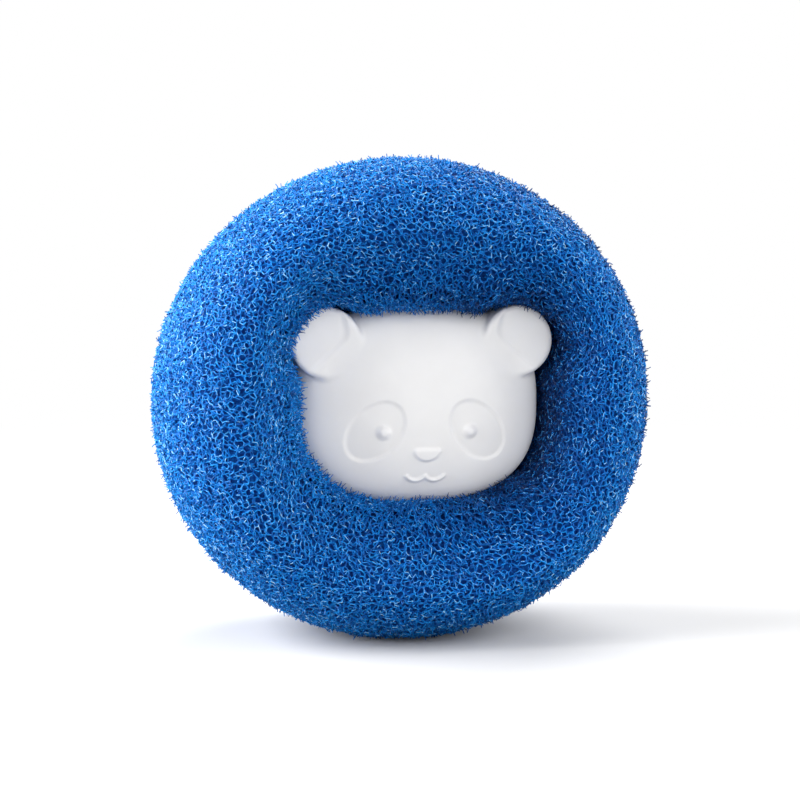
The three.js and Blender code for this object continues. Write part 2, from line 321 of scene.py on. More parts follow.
def cell_net(points, source):
    """Cells round points: joints at the middles of the triangles between them, and struts.

    source gives each point's own number, the same for copies past a seam.
    """
    spots = [Vector(p) for p in points.tolist()]
    flat, _, faces, origins, _, _ = delaunay_2d_cdt(spots, [], [], 0, 1e-9)
    flat = np.array([(p.x, p.y) for p in flat])
    own = np.array([source[o[0]] for o in origins])
    faces = np.array(faces)
    middles = flat[faces].mean(axis=1)
    keys = np.sort(own[faces], axis=1)
    edges = np.sort(faces[:, [0, 1, 1, 2, 2, 0]].reshape(-1, 2), axis=1)
    owner = np.repeat(np.arange(len(faces)), 3)
    order = np.lexsort((edges[:, 1], edges[:, 0]))
    edges, owner = edges[order], owner[order]
    shared = np.all(edges[1:] == edges[:-1], axis=1)
    pairs = np.stack([owner[:-1][shared], owner[1:][shared]], axis=1)
    return middles, keys, pairs


def ring_net(ring, cell):
    """Joints (turn, climb) and struts (pairs of joints) of one layer all round the ring."""
    points = ring.cell_middles(cell)
    numbers = np.arange(len(points))
    margin = 0.3
    before = points[:, 0] > 2 * np.pi - margin
    after = points[:, 0] < margin
    full = [2 * np.pi, 0]
    everywhere = np.concatenate([points, points[before] - full, points[after] + full])
    source = np.concatenate([numbers, numbers[before], numbers[after]])
    middles, keys, pairs = cell_net(everywhere, source)
    trusted = (middles[:, 0] > -margin / 2) & (middles[:, 0] < 2 * np.pi + margin / 2)
    pairs = pairs[trusted[pairs].all(axis=1)]
    _, first, joint = np.unique(keys, axis=0, return_index=True, return_inverse=True)
    joint = joint.reshape(-1)
    pairs = np.unique(np.sort(joint[pairs], axis=1), axis=0)
    return middles[first], pairs


# Struts

def unit(vectors):
    return vectors / np.maximum(np.linalg.norm(vectors, axis=-1, keepdims=True), 1e-12)


class Struts:
    """Bars between points, with three radii and the way that the foam's surface faces there."""

    def __init__(self):
        self.parts = []

    def add(self, start, end, facing, first, waist, last):
        radii = np.stack([np.broadcast_to(r, len(start)) for r in (first, waist, last)], axis=1)
        self.parts.append(np.concatenate([start, end, facing, radii], axis=1))

    def add_net(self, points, normals, pairs):
        thick = rng.uniform(STRUT_THIN, STRUT_THICK, len(pairs))
        start, end = points[pairs[:, 0]], points[pairs[:, 1]]
        facing = unit(normals[pairs[:, 0]] + normals[pairs[:, 1]])
        self.add(start, end, facing, STRUT_END * thick, STRUT_WAIST * thick, STRUT_END * thick)

    def rows(self):
        """start, end, facing and radii of all bars that lie clear of the heads."""
        rows = np.concatenate(self.parts)
        rows = rows[np.linalg.norm(rows[:, 3:6] - rows[:, 0:3], axis=1) > STRUT_SHORTEST]
        spots = [rows[:, 0:3], rows[:, 3:6], (rows[:, 0:3] + rows[:, 3:6]) / 2]
        return rows[np.all([head_gap(p) > TIP_GAP for p in spots], axis=0)]


SIDES = 3
CHART_GAP = 0.1  # free edge round a bar's patch of the map, of the patch


def strut_faces(rings):
    """Corners and sizes of one bar's faces, and the corners' places on its patch of the map."""
    corners, patch = [], []
    for ring in range(rings - 1):
        for side in range(SIDES):
            low, beyond = ring * SIDES + side, ring * SIDES + (side + 1) % SIDES
            corners += [low, beyond, beyond + SIDES, low + SIDES]
            left, right = side / SIDES, (side + 1) / SIDES
            bottom, top = ring / rings, (ring + 1) / rings
            patch += [[left, bottom], [right, bottom], [right, top], [left, top]]
    sizes = [4] * (len(corners) // 4) + [3, 3]
    last = (rings - 1) * SIDES
    corners += [2, 1, 0, last, last + 1, last + 2]
    for left in (0.0, 0.5):
        patch += [[left, 1 - 1 / rings], [left + 0.5, 1 - 1 / rings], [left, 1.0]]
    return np.array(corners), sizes, np.array(patch)


def strut_tone_and_painted_light(start, end, facing, rim):
    """How light each edge of the bars is: a tone at random, less painted shade where the foam faces a
    head and in the gap right of it, plus painted highlights on the edges that face out.
    """
    count = len(start)
    inward = unit(PINCH_OFFSET - (start + end)[:, :2] / 2)
    pinched = np.clip((facing[:, :2] * inward).sum(axis=1), 0, 1)
    tone_and_painted_light = rng.uniform(*TONES, count)
    # painted shade where the foam faces a head, stronger on the right
    tone_and_painted_light -= CAVITY_SHADE * pinched * (1 - inward[:, 0])
    # painted shade in the gap on the right of the head, fading with height
    low = np.clip((HUG_TOP - np.abs(start + end)[:, 2] / 2) / GAP_FADE, 0, 1)
    tone_and_painted_light -= GAP_SHADE * low * np.clip(-inward[:, 0], 0, 1)
    # painted highlights: a full glint on some struts' outward edge, a lighter ridge on the rest
    light = np.where(rng.uniform(size=count) < GLINT_SHARE, GLINT_TONE - tone_and_painted_light, RIDGE_HIGHLIGHT)
    ridge = np.clip(2 * (rim * facing[:, None]).sum(axis=2) - 1, 0, 1)
    return tone_and_painted_light[:, None] + light[:, None] * ridge


def strut_mesh(name, rows, rings):
    """One mesh of closed three-sided bars, each with its own patch of the map.

    With three rings a bar is drawn in and bent at its middle, with two it is straight.
    """
    count = len(rows)
    start, end, facing, radii = rows[:, 0:3], rows[:, 3:6], rows[:, 6:9], rows[:, 9:12]
    axis = unit(end - start)
    across = unit(np.cross(axis, rng.normal(size=(count, 3))))
    beside = np.cross(axis, across)
    turn = 2 * np.pi * np.arange(SIDES) / SIDES
    rim = across[:, None] * np.cos(turn)[:, None] + beside[:, None] * np.sin(turn)[:, None]
    share = np.linspace(0, 1, rings)
    spine = start[:, None] + (end - start)[:, None] * share[:, None]
    if rings == 3:
        spine[:, 1] += across * rng.uniform(-STRUT_BEND, STRUT_BEND, (count, 1))
    else:
        radii = radii[:, [0, 2]]
    points = spine[:, :, None] + rim[:, None] * radii[:, :, None, None]
    corners, sizes, patch = strut_faces(rings)
    loops = np.arange(count)[:, None] * rings * SIDES + corners
    columns = math.ceil(math.sqrt(count))
    cell = np.stack([np.arange(count) % columns, np.arange(count) // columns], axis=1)
    chart = (cell[:, None] + CHART_GAP + (1 - 2 * CHART_GAP) * patch) / columns
    points = upright(points.reshape(-1, 3)) * MM
    piece = make_mesh(
        name, points, loops.reshape(-1), np.tile(sizes, count), chart.reshape(-1, 2)
    )
    shade = unit(rim * (1 - FACING_SHARE) + facing[:, None] * FACING_SHARE)
    shade = np.repeat(shade[:, None], rings, axis=1).reshape(-1, 3)
    piece.data.normals_split_custom_set_from_vertices(upright_way(shade))
    # tone at random with painted shade and painted highlights, read by the foam's colours
    tone_and_painted_light = strut_tone_and_painted_light(start, end, facing, rim)
    layer = piece.data.attributes.new("tone_and_painted_light", "FLOAT", "POINT")
    layer.data.foreach_set("value", np.repeat(tone_and_painted_light[:, None], rings, axis=1).reshape(-1))
    return piece


def make_mesh(name, points, loops, sizes, chart=None):
    mesh = bpy.data.meshes.new(name)
    mesh.vertices.add(len(points))
    mesh.vertices.foreach_set("co", points.astype(np.float32).reshape(-1))
    mesh.loops.add(len(loops))
    mesh.loops.foreach_set("vertex_index", loops.astype(np.int32))
    mesh.polygons.add(len(sizes))
    starts = np.concatenate([[0], np.cumsum(sizes)[:-1]])
    mesh.polygons.foreach_set("loop_start", starts.astype(np.int32))
    mesh.update(calc_edges=True)
    mesh.shade_smooth()
    if chart is not None:
        layer = mesh.uv_layers.new(name="OFBake")
        layer.uv.foreach_set("vector", chart.astype(np.float32).reshape(-1))
    piece = bpy.data.objects.new(name, mesh)
    bpy.context.scene.collection.objects.link(piece)
    return piece


def upright_way(ways):
    """Directions from the sponge's flat frame, depth along z, to the standing frame, front to -Y."""
    return np.stack([ways[..., 0], -ways[..., 2], ways[..., 1]], axis=-1)


def upright(points):
    """The same for points, which stand on the ground there."""
    return upright_way(points) + [0, 0, STANDING]


# Heads: one field for the moulding, negative inside

def soft_max(a, b, radius):
    share = np.clip(0.5 + 0.5 * (a - b) / radius, 0, 1)
    return b + (a - b) * share + radius * share * (1 - share)


def soft_min(a, b, radius):
    return -soft_max(-a, -b, radius)


def soft_step(inside, half_width):
    """1 well inside, 0 well outside, by a signed distance that is negative inside."""
    share = np.clip(0.5 - inside / (2 * half_width), 0, 1)
    return share * share * (3 - 2 * share)


def dome_distance(x, y, z, grow):
    wide, high = HEAD_HALF_WIDTH + grow, HEAD_HALF_HEIGHT + grow
    rise = DOME_RISE + grow
    across, along = np.abs(x) / wide, np.abs(y) / high
    climb = np.maximum(z - DOME_FOOT, 0) / rise
    spread = np.maximum(across ** HEAD_FULLNESS + along ** HEAD_FULLNESS, 1e-9)
    ratio = DOME_FULLNESS / HEAD_FULLNESS
    level = spread ** ratio + climb ** 2 - 1
    pull = DOME_FULLNESS * spread ** (ratio - 1)
    slope_x = pull * across ** (HEAD_FULLNESS - 1) / wide
    slope_y = pull * along ** (HEAD_FULLNESS - 1) / high
    slope = np.sqrt(slope_x ** 2 + slope_y ** 2 + (2 * climb / rise) ** 2)
    return level / np.maximum(slope, 0.02)


def dome_normal(points):
    """The dome's own normals, without the relief on it."""
    step = 0.05
    slopes = []
    for axis in np.eye(3):
        ahead = dome_distance(*(points + axis * step).T, 0)
        behind = dome_distance(*(points - axis * step).T, 0)
        slopes.append(ahead - behind)
    return unit(np.stack(slopes, axis=1))


def ellipse_distance(u, v, long, short):
    reach = np.sqrt((u / long) ** 2 + (v / short) ** 2)
    slope = np.sqrt((u / long ** 2) ** 2 + (v / short ** 2) ** 2) / np.maximum(reach, 1e-6)
    return (reach - 1) / np.maximum(slope, 0.5 / long)


def relief(x, y):
    """How far the face stands out of the dome (positive) or is sunk in it (negative)."""
    sunk, dots = np.zeros_like(x), np.zeros_like(x)
    mouth = np.full_like(x, np.inf)
    bend = MOUTH_SPAN ** 2 / (8 * MOUTH_SAG) + MOUTH_SAG / 2
    half = math.asin(MOUTH_SPAN / 2 / bend)
    for side in (-1, 1):
        tilt = PATCH_TILT if side < 0 else math.pi - PATCH_TILT
        dx, dy = x - side * PATCH_X, y - PATCH_Y
        u = dx * math.cos(tilt) + dy * math.sin(tilt)
        v = -dx * math.sin(tilt) + dy * math.cos(tilt)
        patch = ellipse_distance(u, v, PATCH_LONG, PATCH_SHORT)
        sunk = np.maximum(sunk, soft_step(patch, PATCH_EDGE))
        dot = np.hypot(x - side * DOT_X, y - DOT_Y) - DOT_RADIUS
        dots = np.maximum(dots, soft_step(dot, DOT_EDGE))
        ax, ay = x - side * MOUTH_SPAN / 2, y - (MOUTH_Y - MOUTH_SAG + bend)
        turn = np.clip(np.arctan2(ax, -ay), -half, half)
        arc = np.hypot(ax - bend * np.sin(turn), ay + bend * np.cos(turn))
        mouth = np.minimum(mouth, arc - MOUTH_LINE / 2)
    nose = ellipse_distance(x, y - NOSE_Y, NOSE_WIDTH / 2, NOSE_HEIGHT)
    nose = soft_max(nose, y - NOSE_Y, NOSE_ROUNDING)
    raised = np.maximum(dots, soft_step(soft_min(nose, mouth, MOUTH_BLEND), LINE_EDGE))
    return RAISE * raised - RECESS * sunk * (1 - dots)


def head_field(points):
    """Distance to the moulding's surface, near enough close to it."""
    x, y, z = points[..., 0], points[..., 1], points[..., 2]
    outer = dome_distance(x, y, z, 0) - np.where(z > DOME_FOOT, relief(x, y), 0)
    hollow = dome_distance(x, y, z, -WALL)
    for side in (-1, 1):
        dx, dy = x - side * EAR_X, y - EAR_Y
        radial = np.hypot(dx, dy)
        u, v = -side * dx - INNER_EAR_X, dy - INNER_EAR_Y
        above = u * math.sin(INNER_EAR_RISE) - v * math.cos(INNER_EAR_RISE)
        below = v * math.cos(INNER_EAR_FALL) - u * math.sin(INNER_EAR_FALL)
        inner_ear = soft_max(above, below, INNER_EAR_ROUNDING)
        front = EAR_FRONT - RECESS * soft_step(inner_ear, EAR_EDGE)
        front -= EAR_GROOVE * np.exp(-((inner_ear + EAR_EDGE) / EAR_EDGE) ** 2)
        rim, top = radial - (EAR_RADIUS - EAR_ROUNDING), z - (front - EAR_ROUNDING)
        corner = np.hypot(np.maximum(rim, 0), np.maximum(top, 0))
        corner = corner + np.minimum(np.maximum(rim, top), 0)
        outer = soft_min(outer, corner - EAR_ROUNDING, EAR_BLEND)
        ceiling = EAR_FRONT - RECESS - WALL
        hollow = np.minimum(hollow, np.maximum(radial - (EAR_RADIUS - WALL), z - ceiling))
    head = soft_max(outer, PINCH_HALF_GAP - z, FOOT_ROUNDING)
    head = soft_max(head, -hollow, HOLLOW_ROUNDING)
    inside = dome_distance(x, y, z, -WALL / 2)
    for side in (-1, 1):
        post = np.hypot(x - side * POST_X, y) - POST_RADIUS
        post = soft_max(post, POST_END - z, POST_ROUNDING)
        post = soft_max(post, inside, POST_TOP_ROUNDING)
        head = soft_min(head, post, POST_FILLET)
    spigot = np.hypot(x - POST_X, y) - SPIGOT_RADIUS
    spigot = soft_max(spigot, -SPIGOT_LENGTH - z, SPIGOT_ROUNDING)
    spigot = np.maximum(spigot, z - DOME_FOOT)
    head = soft_min(head, spigot, SPIGOT_FILLET)
    bore = np.hypot(x + POST_X, y) - SPIGOT_RADIUS - CLEARANCE
    bore = np.maximum(bore, z - SPIGOT_LENGTH - CLEARANCE)
    return soft_max(head, -bore, BORE_ROUNDING)


def surface_net(field, low, high, step):
    """A mesh of quads over the zero surface of a field."""
    axes = [np.arange(a, b + step, step) for a, b in zip(low, high)]
    shape = [len(a) for a in axes]
    values = np.empty(shape, np.float32)
    flat = np.stack(np.meshgrid(axes[0], axes[1], indexing="ij"), axis=-1)
    for k, height in enumerate(axes[2]):
        layer = np.concatenate([flat, np.full(flat.shape[:2] + (1,), height)], axis=-1)
        values[:, :, k] = field(layer)
    inside = values < 0
    corners = [(i, j, k) for i in (0, 1) for j in (0, 1) for k in (0, 1)]
    filled = np.zeros([n - 1 for n in shape], np.int8)
    for corner in corners:
        filled += inside[tuple(slice(o, n - 1 + o) for o, n in zip(corner, shape))]
    cells = np.argwhere((filled > 0) & (filled < 8))
    number = np.full([n - 1 for n in shape], -1, np.int64)
    number[tuple(cells.T)] = np.arange(len(cells))
    total, hits = np.zeros((len(cells), 3)), np.zeros((len(cells), 1))
    for a in corners:
        for b in corners:
            if sum(b) != sum(a) + 1 or any(q < p for p, q in zip(a, b)):
                continue
            first = values[tuple((cells + a).T)].astype(float)
            second = values[tuple((cells + b).T)].astype(float)
            cross = (first < 0) != (second < 0)
            share = np.where(cross, first / np.where(cross, first - second, 1), 0)[:, None]
            spot = np.array(a) + share * (np.array(b) - np.array(a))
            total += np.where(cross[:, None], spot, 0)
            hits += cross[:, None]
    points = (cells + total / hits) * step + np.array(low)
    for _ in range(3):
        points -= np.clip(newton_step(field, points), -step / 2, step / 2)
    quads = []
    for axis in range(3):
        one, two = [d for d in range(3) if d != axis]
        start = np.moveaxis(inside, axis, 0)
        change = np.moveaxis(start[:-1] != start[1:], 0, axis)
        edges = np.argwhere(change)
        keep = (edges[:, one] > 0) & (edges[:, two] > 0)
        keep &= (edges[:, one] < shape[one] - 1) & (edges[:, two] < shape[two] - 1)
        edges = edges[keep]
        ring = []
        for back_one, back_two in ((0, 0), (1, 0), (1, 1), (0, 1)):
            at = edges.copy()
            at[:, one] -= back_one
            at[:, two] -= back_two
            ring.append(number[tuple(at.T)])
        ring = np.stack(ring, axis=1)
        outwards = inside[tuple(edges.T)] != (axis == 1)
        quads.append(np.where(outwards[:, None], ring, ring[:, ::-1]))
    return points, np.concatenate(quads)


def newton_step(field, points):
    small = 1e-3
    value = field(points)
    slope = np.empty_like(points)
    for axis in range(3):
        step = np.zeros(3)
        step[axis] = small
        slope[:, axis] = (field(points + step) - field(points - step)) / (2 * small)
    return value[:, None] * slope / np.maximum((slope ** 2).sum(axis=1, keepdims=True), 1e-3)


# Materials

NOISE_LOW, NOISE_HIGH = 0.3, 0.7  # between which a noise has nearly all its values
FOAM_STOPS = 0.1, 0.36, 0.47, 0.6, 0.74  # tones at which the foam has its five colours, the last a painted glint


def new_material(name):
    material = bpy.data.materials.new(name)
    material.use_nodes = True
    tree = material.node_tree
    shader = next(n for n in tree.nodes if n.type == "BSDF_PRINCIPLED")
    return material, tree, shader


def set_inputs(node, values):
    for name, value in values.items():
        node.inputs[name].default_value = value


def noise_node(tree, coordinates, scale, detail):
    node = tree.nodes.new("ShaderNodeTexNoise")
    set_inputs(node, {"Scale": scale, "Detail": detail})
    tree.links.new(coordinates.outputs["Object"], node.inputs["Vector"])
    return node


def ramp_node(tree, source, stops):
    node = tree.nodes.new("ShaderNodeValToRGB")
    ramp = node.color_ramp
    while len(ramp.elements) < len(stops):
        ramp.elements.new(0.5)
    for element, (position, colour) in zip(ramp.elements, stops):
        element.position = position
        element.color = (*colour, 1)
    tree.links.new(source, node.inputs["Fac"])
    return node


def range_node(tree, source, low, high, start=0.0, stop=1.0):
    """low to high, as source goes from start to stop."""
    node = tree.nodes.new("ShaderNodeMapRange")
    set_inputs(node, {"From Min": start, "From Max": stop, "To Min": low, "To Max": high})
    tree.links.new(source, node.inputs["Value"])
    return node


def foam_material(name, colours, by_strut, rough, shine):
    """colours go from dark to a painted glint, and by_strut is the share of a strut's own tone, with
    its painted shade and highlights, in them.
    """
    material, tree, shader = new_material(name)
    coordinates = tree.nodes.new("ShaderNodeTexCoord")
    fine = noise_node(tree, coordinates, scale=1500, detail=1)
    tone_and_painted_light = tree.nodes.new("ShaderNodeAttribute")
    tone_and_painted_light.attribute_name = "tone_and_painted_light"
    blend = tree.nodes.new("ShaderNodeMix")
    set_inputs(blend, {"Factor": by_strut})
    tree.links.new(fine.outputs["Fac"], blend.inputs["A"])
    tree.links.new(tone_and_painted_light.outputs["Fac"], blend.inputs["B"])
    # the fine noise and the struts' tone run through the colours, so parts of struts reach the
    # painted glint
    colour = ramp_node(tree, blend.outputs["Result"], list(zip(FOAM_STOPS, colours)))
    tree.links.new(colour.outputs["Color"], shader.inputs["Base Color"])
    broad = noise_node(tree, coordinates, scale=120, detail=2)
    gloss = range_node(tree, broad.outputs["Fac"], *rough, NOISE_LOW, NOISE_HIGH)
    tree.links.new(gloss.outputs["Result"], shader.inputs["Roughness"])
    set_inputs(shader, {
        "Specular IOR Level": 0.1,
        "Coat Weight": shine,
        "Coat Roughness": 0.22,
    })
    facets = tree.nodes.new("ShaderNodeNewGeometry")
    tree.links.new(facets.outputs["True Normal"], shader.inputs["Coat Normal"])
    return material


def plastic_material(name):
    material, tree, shader = new_material(name)
    coordinates = tree.nodes.new("ShaderNodeTexCoord")
    broad = noise_node(tree, coordinates, scale=90, detail=3)
    whites = [(NOISE_LOW, (0.91, 0.9, 0.895)), (NOISE_HIGH, (0.95, 0.94, 0.935))]
    colour = ramp_node(tree, broad.outputs["Fac"], whites)
    tree.links.new(colour.outputs["Color"], shader.inputs["Base Color"])
    set_inputs(shader, {
        "Subsurface Weight": 0.35,
        "Subsurface Radius": (1, 1, 1),
        "Subsurface Scale": 0.002,
    })
    gloss = range_node(tree, broad.outputs["Fac"], 0.34, 0.44, NOISE_LOW, NOISE_HIGH)
    tree.links.new(gloss.outputs["Result"], shader.inputs["Roughness"])
    grain = noise_node(tree, coordinates, scale=3200, detail=2)
    bump = tree.nodes.new("ShaderNodeBump")
    set_inputs(bump, {"Strength": 0.08, "Distance": 0.0001})
    tree.links.new(grain.outputs["Fac"], bump.inputs["Height"])
    tree.links.new(bump.outputs["Normal"], shader.inputs["Normal"])
    return material


def background_rays(tree):
    """1 for rays that show the white background: from the camera, off gloss or through glass."""
    path = tree.nodes.new("ShaderNodeLightPath")
    shown = path.outputs["Is Camera Ray"]
    for kind in ("Is Glossy Ray", "Is Transmission Ray"):
        either = tree.nodes.new("ShaderNodeMath")
        either.operation = "MAXIMUM"
        tree.links.new(shown, either.inputs[0])
        tree.links.new(path.outputs[kind], either.inputs[1])
        shown = either.outputs[0]
    return shown


# Build the foam

outline_top = ring_point(TABLE_ANGLES, np.full(len(TABLE_ANGLES), 2.0))[:, 1].max()
STANDING = CAD_BOX[1].z / MM - outline_top
WEB_FACE = PINCH_HALF_GAP - CLEARANCE
ring = RingMap()


def rest_on_ground(points, lift):
    """Foam is flat where it stands."""
    points = points.copy()
    points[:, 1] = np.maximum(points[:, 1], lift - STANDING)
    return points


def head_gap(points):
    """Distance from points in the sponge's flat frame to the nearer head."""
    local = points - np.append(PINCH_OFFSET, 0)
    return np.minimum(head_field(local), head_field(local * [-1, 1, -1]))


def trimmed(start, end):
    """Ends drawn back until the bars stop short of the heads."""
    reach = np.ones(len(start))
    for share in (1.0, 0.8, 0.6, 0.4, 0.2):
        reach[head_gap(start + share * (end - start)) < TIP_GAP] = share - TRIM_STEP
    return start + reach[:, None] * (end - start)


def short_enough(points, pairs, cell):
    length = np.linalg.norm(points[pairs[:, 0]] - points[pairs[:, 1]], axis=1)
    return pairs[length < STRUT_LONGEST * cell]


def ring_layer(cell, depth):
    """Joints, their normals, how near a head they lie, and the struts between them."""
    joints, pairs = ring_net(ring, cell)
    angle, profile = ring.place(joints[:, 0], joints[:, 1])
    normal = ring_normal(angle, profile)
    points = ring_point(angle, profile) - normal * depth
    by_head = np.clip((HUG_TOP - np.abs(points[:, 2])) / (HUG_TOP - HUG_FULL), 0, 1)
    by_head *= np.minimum(profile, 4 - profile) < 1
    sideways = unit(points[:, :2] - PINCH_OFFSET)[:, 0]
    to_left = np.clip((-sideways - SLACK_FROM_LEFT) / SLACK_FADE_LEFT, 0, 1)
    to_right = np.clip((sideways - SLACK_FROM_RIGHT) / SLACK_FADE_RIGHT, 0, 1)
    by_head *= 1 - HUG_SLACK_LEFT * to_left
    by_head *= 1 - HUG_SLACK_RIGHT * to_right
    return points, normal, by_head, short_enough(points, pairs, cell)


def web_layer(cell, depth, side):
    """The same for one face of the web between the heads."""
    steps = np.arange(-WEB_REACH, WEB_REACH, cell)
    x, y = np.meshgrid(steps, steps * math.sqrt(3) / 2)
    x = x + np.where(np.arange(len(steps)) % 2, cell / 2, 0)[:, None]
    middles = np.stack([x, y], axis=-1).reshape(-1, 2)
    middles += rng.uniform(-CELL_UNEVEN, CELL_UNEVEN, middles.shape) * cell
    joints, _, pairs = cell_net(middles, np.arange(len(middles)))
    angle = np.mod(np.arctan2(joints[:, 1], joints[:, 0]), 2 * np.pi)
    pocket = np.interp(angle, TABLE_ANGLES, POCKET_TABLE)
    inside = np.linalg.norm(joints, axis=1) < pocket + depth
    for hole in (-POST_X, POST_X):
        inside &= np.hypot(joints[:, 0] - hole, joints[:, 1]) > POST_RADIUS + CLEARANCE + depth
    pairs = pairs[inside[pairs].all(axis=1)]
    height = np.full(len(joints), side * (WEB_FACE - depth))
    points = np.column_stack([joints + PINCH_OFFSET, height])
    normal = np.tile([0.0, 0.0, side], (len(points), 1))
    used = np.unique(pairs)
    number = np.full(len(points), -1)
    number[used] = np.arange(len(used))
    return points[used], normal[used], np.zeros(len(used)), number[pairs]


def joined(layers):
    """Several nets as one, with the numbers of their joints moved on."""
    points, normals, by_head, pairs = zip(*layers)
    before = np.cumsum([0] + [len(part) for part in points[:-1]])
    pairs = [own + first for own, first in zip(pairs, before)]
    return [np.concatenate(part) for part in (points, normals, by_head, pairs)]


def foam_layer(cell, depth, wave, lift):
    """Joints of one net over ring and web, drawn up to the heads at the foot of the lips."""
    layers = [ring_layer(cell, depth), web_layer(cell, depth, 1), web_layer(cell, depth, -1)]
    points, normal, by_head, pairs = joined(layers)
    points = points + normal * rng.uniform(-wave, wave, (len(points), 1))
    points += rng.uniform(-JOINT_DRIFT, JOINT_DRIFT, points.shape)
    least = JOINT_GAP + depth - OUTER_DEPTH
    reach = by_head * np.clip(head_gap(points) - least, 0, HUG_REACH)
    points[:, :2] += unit(PINCH_OFFSET - points[:, :2]) * reach[:, None]
    points -= normal * np.maximum(least - head_gap(points), 0)[:, None]
    return rest_on_ground(points, lift), normal, by_head, pairs


outer_points, outer_normal, by_head, outer_pairs = foam_layer(
    OUTER_CELL, OUTER_DEPTH, OUTER_WAVE, OUTER_LIFT
)
inner_points, inner_normal, _, inner_pairs = foam_layer(
    INNER_CELL, INNER_DEPTH, INNER_WAVE, INNER_LIFT
)
outer_struts, inner_struts = Struts(), Struts()
whole = rng.uniform(size=len(outer_pairs)) < OUTER_KEPT
outer_struts.add_net(outer_points, outer_normal, outer_pairs[whole])
inner_struts.add_net(inner_points, inner_normal, inner_pairs)

# At a joint a fourth strut goes down to the net below, or stands out where the foam was cut
finder = KDTree(len(inner_points))
for i, point in enumerate(inner_points):
    finder.insert(point, i)
finder.balance()
goes_in = rng.uniform(size=len(outer_points)) < DOWN_SHARE
down_from, down_normal = outer_points[goes_in], outer_normal[goes_in]
down_to = inner_points[[finder.find(p)[1] for p in down_from]]
inner_struts.add(down_from, down_to, down_normal, STRUT_END, STRUT_WAIST, STRUT_END)
stub_from, stub_normal = outer_points[~goes_in], outer_normal[~goes_in]
stub_share = rng.uniform(size=len(stub_from)) ** STUB_SKEW
stub_length = STUB_SHORT + (STUB_LONG - STUB_SHORT) * stub_share
lean = unit(stub_normal + STUB_SPREAD * rng.normal(size=stub_from.shape))
stub_to = rest_on_ground(stub_from + lean * stub_length[:, None], TIP_LIFT)
stub_to = trimmed(stub_from, stub_to)
outer_struts.add(stub_from, stub_to, stub_normal, STRUT_END, STRUT_WAIST, STUB_TIP)

# Free ends that lie along the surface
loose = rng.uniform(size=len(outer_points)) < LOOSE_SHARE
loose_from, loose_normal = outer_points[loose], outer_normal[loose]
slant = rng.normal(size=loose_from.shape) * LOOSE_SPREAD
slant = unit(LOOSE_RISE * loose_normal + slant)
into = np.minimum((slant * loose_normal).sum(axis=1, keepdims=True), 0)
slant -= loose_normal * into
loose_length = rng.uniform(LOOSE_SHORT, LOOSE_LONG, (len(loose_from), 1))
loose_to = rest_on_ground(loose_from + slant * loose_length, TIP_LIFT)
loose_to = trimmed(loose_from, loose_to)
outer_struts.add(loose_from, loose_to, loose_normal, STRUT_END, STRUT_WAIST, STRUT_WAIST)

# Struts that hang over the edges of the heads
fringe = (by_head > FRINGE_HUG) & (np.abs(outer_points[:, 2]) > FRINGE_FOOT)
fringe_from = outer_points[fringe]
inward = unit(np.append(PINCH_OFFSET, 0) - fringe_from * [1, 1, 0])
outward = np.sign(fringe_from[:, 2:]) * [0, 0, 1]
astray = FRINGE_SPREAD * rng.normal(size=fringe_from.shape)
lean = unit(inward + FRINGE_OUT * outward + astray)
fringe_length = rng.uniform(FRINGE_SHORT, FRINGE_LONG, (len(fringe_from), 1))
fringe_to = trimmed(fringe_from, fringe_from + lean * fringe_length)
outer_struts.add(fringe_from, fringe_to, outer_normal[fringe], STRUT_WAIST, STRUT_WAIST, STUB_TIP)

# Foam colours from dark blue to a pale painted glint
foam = foam_material(
    "foam",
    (
        (0.0005, 0.02, 0.1),
        (0.001, 0.13, 0.52),
        (0.002, 0.245, 0.79),
        (0.018, 0.38, 0.97),
        (0.6, 0.92, 1.0),
    ),
    by_strut=0.65,
    rough=(0.3, 0.45),
    shine=0.25,
)
# A darker copy of the foam for the net below: painted shade, with a weaker painted glint.
deep_foam_shaded = foam_material(
    "deep_foam_shaded",
    (
        (0.0005, 0.02, 0.1),
        (0.001, 0.108, 0.49),
        (0.002, 0.185, 0.69),
        (0.006, 0.26, 0.84),
        (0.09, 0.48, 1.0),
    ),
    by_strut=0.65,
    rough=(0.4, 0.55),
    shine=0.1,
)
# A much darker copy of the foam for the core: painted shade in the depths of the pores.
core_foam_shaded = foam_material(
    "core_foam_shaded",
    (
        (0.0005, 0.02, 0.12),
        (0.001, 0.03, 0.18),
        (0.001, 0.05, 0.26),
        (0.002, 0.075, 0.33),
        (0.004, 0.1, 0.4),
    ),
    by_strut=0.0,
    rough=(0.7, 0.9),
    shine=0.0,
)


def dress_foam(piece, material):
    piece.data.materials.append(material)
    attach(piece, "sponge_body")
    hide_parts("sponge")


def by_sector(name, struts, sectors, rings, material):
    rows = struts.rows()
    middle = (rows[:, 0:3] + rows[:, 3:6]) / 2
    share = np.mod(np.arctan2(middle[:, 1], middle[:, 0]) / (2 * np.pi), 1)
    sector = np.minimum((share * sectors).astype(int), sectors - 1)
    for number in range(sectors):
        piece = strut_mesh(f"{name}_{number + 1:02d}", rows[sector == number], rings)
        dress_foam(piece, material)


by_sector("sponge_cells", outer_struts, OUTER_SECTORS, 3, foam)
by_sector("sponge_depth", inner_struts, INNER_SECTORS, 2, deep_foam_shaded)

# The core: the same surface sunk below the nets, closed by a web with two holes for the posts
CORE_ROWS = 121
CORE_COLUMNS = 240
HOLE_COLUMNS = 32
HOLE_EASE = 0.6


def ribbon(low, high):
    """Quads between two closed rows of points."""
    return np.stack([low, high, np.roll(high, -1), np.roll(low, -1)], axis=1)


